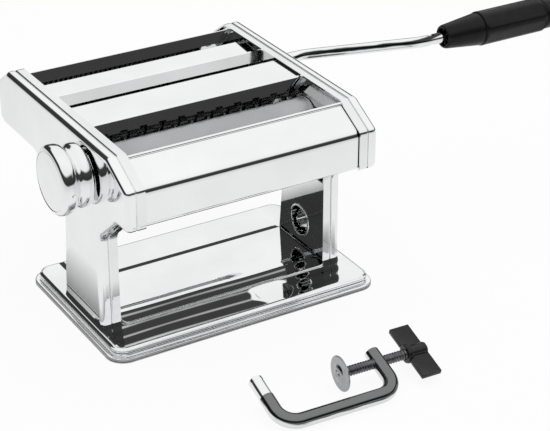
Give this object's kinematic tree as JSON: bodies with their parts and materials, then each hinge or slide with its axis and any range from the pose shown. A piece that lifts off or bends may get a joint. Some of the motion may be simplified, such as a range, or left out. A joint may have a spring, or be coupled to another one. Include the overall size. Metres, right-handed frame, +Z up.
{
  "type": "pasta roller machine",
  "caption": "Hand-cranked pasta machine on a base: smooth rollers with a thickness knob, wide and fine cutters under slots, removable crank, and a loose screw clamp for the table.",
  "frame": {"origin": "on the table under the centre of the base", "axes": "+X to the crank side, +Y to the back, +Z up"},
  "size_m": [0.4234, 0.3217, 0.1541],
  "materials": {
    "polished_steel": "mirror-polished pressed steel",
    "frame_steel": "polished pressed steel, a little duller inside",
    "zinc": "bright zinc plate",
    "roller_steel": "ground steel with a satin sheen",
    "gear_steel": "oiled machined steel",
    "bush_nylon": "natural nylon",
    "comb_nylon": "natural nylon",
    "knob_chrome": "chromed turned knob",
    "crank_chrome": "bright chrome plate on round rod",
    "clear_sleeve": "thin bright sleeve",
    "screw_steel": "blackened rolled thread",
    "black_plastic": "black moulded plastic, glossy"
  },
  "bodies": {
    "machine": {"base_plate": "polished_steel", "left_cover": "polished_steel", "right_cover": "polished_steel", "front_panel": "polished_steel", "rear_panel": "polished_steel", "centre_plate": "polished_steel", "cutter_hood": "polished_steel", "left_side_guide": "polished_steel", "right_side_guide": "polished_steel", "left_leg_liner": "polished_steel", "right_leg_liner": "polished_steel", "left_frame": "frame_steel", "right_frame": "frame_steel", "foot_rivets": "zinc", "front_tie_rod": "zinc", "middle_tie_rod": "zinc", "back_tie_rod": "zinc", "tie_rod_screws": "zinc", "left_bushes": "bush_nylon", "right_bushes": "bush_nylon", "front_scraper": "zinc", "middle_scraper": "zinc", "back_scraper": "zinc", "front_comb": "comb_nylon", "back_comb": "comb_nylon"},
    "front_roller": {"front_sheet_roller": "roller_steel", "front_sheet_gear": "gear_steel"},
    "regulator": {"regulator_shaft": "roller_steel"},
    "knob": {"regulator_knob": "knob_chrome", "knob_face_disc": "knob_chrome", "knob_stop_pin": "zinc"},
    "sleeve": {"regulator_sleeve": "roller_steel"},
    "rear_roller": {"rear_sheet_roller": "roller_steel", "rear_sheet_gear": "gear_steel"},
    "wide_front": {"wide_cutter_front_roller": "roller_steel", "wide_cutter_front_gear": "gear_steel"},
    "wide_back": {"wide_cutter_back_roller": "roller_steel", "wide_cutter_back_gear": "gear_steel"},
    "fine_front": {"fine_cutter_front_roller": "roller_steel", "fine_cutter_front_gear": "gear_steel"},
    "fine_back": {"fine_cutter_back_roller": "roller_steel", "fine_cutter_back_gear": "gear_steel"},
    "crank": {"crank_rod": "crank_chrome"},
    "grip": {"crank_grip": "black_plastic", "grip_end_cap": "black_plastic"},
    "clamp": {"clamp_rod": "crank_chrome", "clamp_jaw_sleeve": "clear_sleeve"},
    "clamp_pad": {"clamp_pad": "zinc"},
    "clamp_screw": {"clamp_screw": "screw_steel", "clamp_wing": "black_plastic"}
  },
  "joints": [
    {"name": "front_roller_turn", "type": "hinge", "parent": "machine", "child": "front_roller", "pos_m": [0, -0.0441, 0.117], "axis": [1, 0, 0], "continuous": true},
    {"name": "regulator_turn", "type": "hinge", "parent": "machine", "child": "regulator", "pos_m": [0, -0.0145, 0.117], "axis": [-1, 0, 0], "range_deg": [0, 180]},
    {"name": "knob_pull", "type": "slide", "parent": "regulator", "child": "knob", "axis": [-1, 0, 0], "range_m": [0, 0.004], "stiffness_N_per_m": 600, "springref_m": -0.004},
    {"name": "sleeve_turn", "type": "hinge", "parent": "regulator", "child": "sleeve", "pos_m": [0, -0.0133, 0.117], "axis": [1, 0, 0], "range_deg": [-8, 188]},
    {"name": "rear_roller_turn", "type": "hinge", "parent": "sleeve", "child": "rear_roller", "pos_m": [0, -0.0133, 0.117], "axis": [1, 0, 0], "continuous": true},
    {"name": "wide_front_turn", "type": "hinge", "parent": "machine", "child": "wide_front", "pos_m": [0, 0.0335, 0.1185], "axis": [1, 0, 0], "continuous": true},
    {"name": "wide_back_turn", "type": "hinge", "parent": "machine", "child": "wide_back", "pos_m": [0, 0.0545, 0.1185], "axis": [1, 0, 0], "continuous": true},
    {"name": "fine_front_turn", "type": "hinge", "parent": "machine", "child": "fine_front", "pos_m": [0, 0.0775, 0.1185], "axis": [1, 0, 0], "continuous": true},
    {"name": "fine_back_turn", "type": "hinge", "parent": "machine", "child": "fine_back", "pos_m": [0, 0.0985, 0.1185], "axis": [1, 0, 0], "continuous": true},
    {"name": "crank_pull", "type": "slide", "parent": "fine_front", "child": "crank", "axis": [1, 0, 0], "range_m": [0, 0.03]},
    {"name": "grip_turn", "type": "hinge", "parent": "crank", "child": "grip", "pos_m": [0.23, 0.00728, 0.14132], "axis": [1, 0, 0], "continuous": true},
    {"name": "clamp_lift", "type": "slide", "parent": "machine", "child": "clamp", "axis": [0, 0, 1], "range_m": [0, 0.12]},
    {"name": "clamp_pad_travel", "type": "slide", "parent": "clamp", "child": "clamp_pad", "axis": [-0.999, 0.0454, 0], "range_m": [-0.006, 0.006]},
    {"name": "clamp_screw_turn", "type": "hinge", "parent": "clamp_pad", "child": "clamp_screw", "pos_m": [0.03479, -0.16695, 0.0121], "axis": [-0.999, 0.0454, 0], "range_deg": [-1200, 1200]}
  ],
  "couplings": [
    {"joint": "sleeve_turn", "follows": "regulator_turn", "ratio": 1},
    {"joint": "rear_roller_turn", "follows": "front_roller_turn", "ratio": -1},
    {"joint": "wide_back_turn", "follows": "wide_front_turn", "ratio": -1},
    {"joint": "fine_back_turn", "follows": "fine_front_turn", "ratio": -1},
    {"joint": "clamp_screw_turn", "follows": "clamp_pad_travel", "rad_per_m": 3141.6}
  ]
}
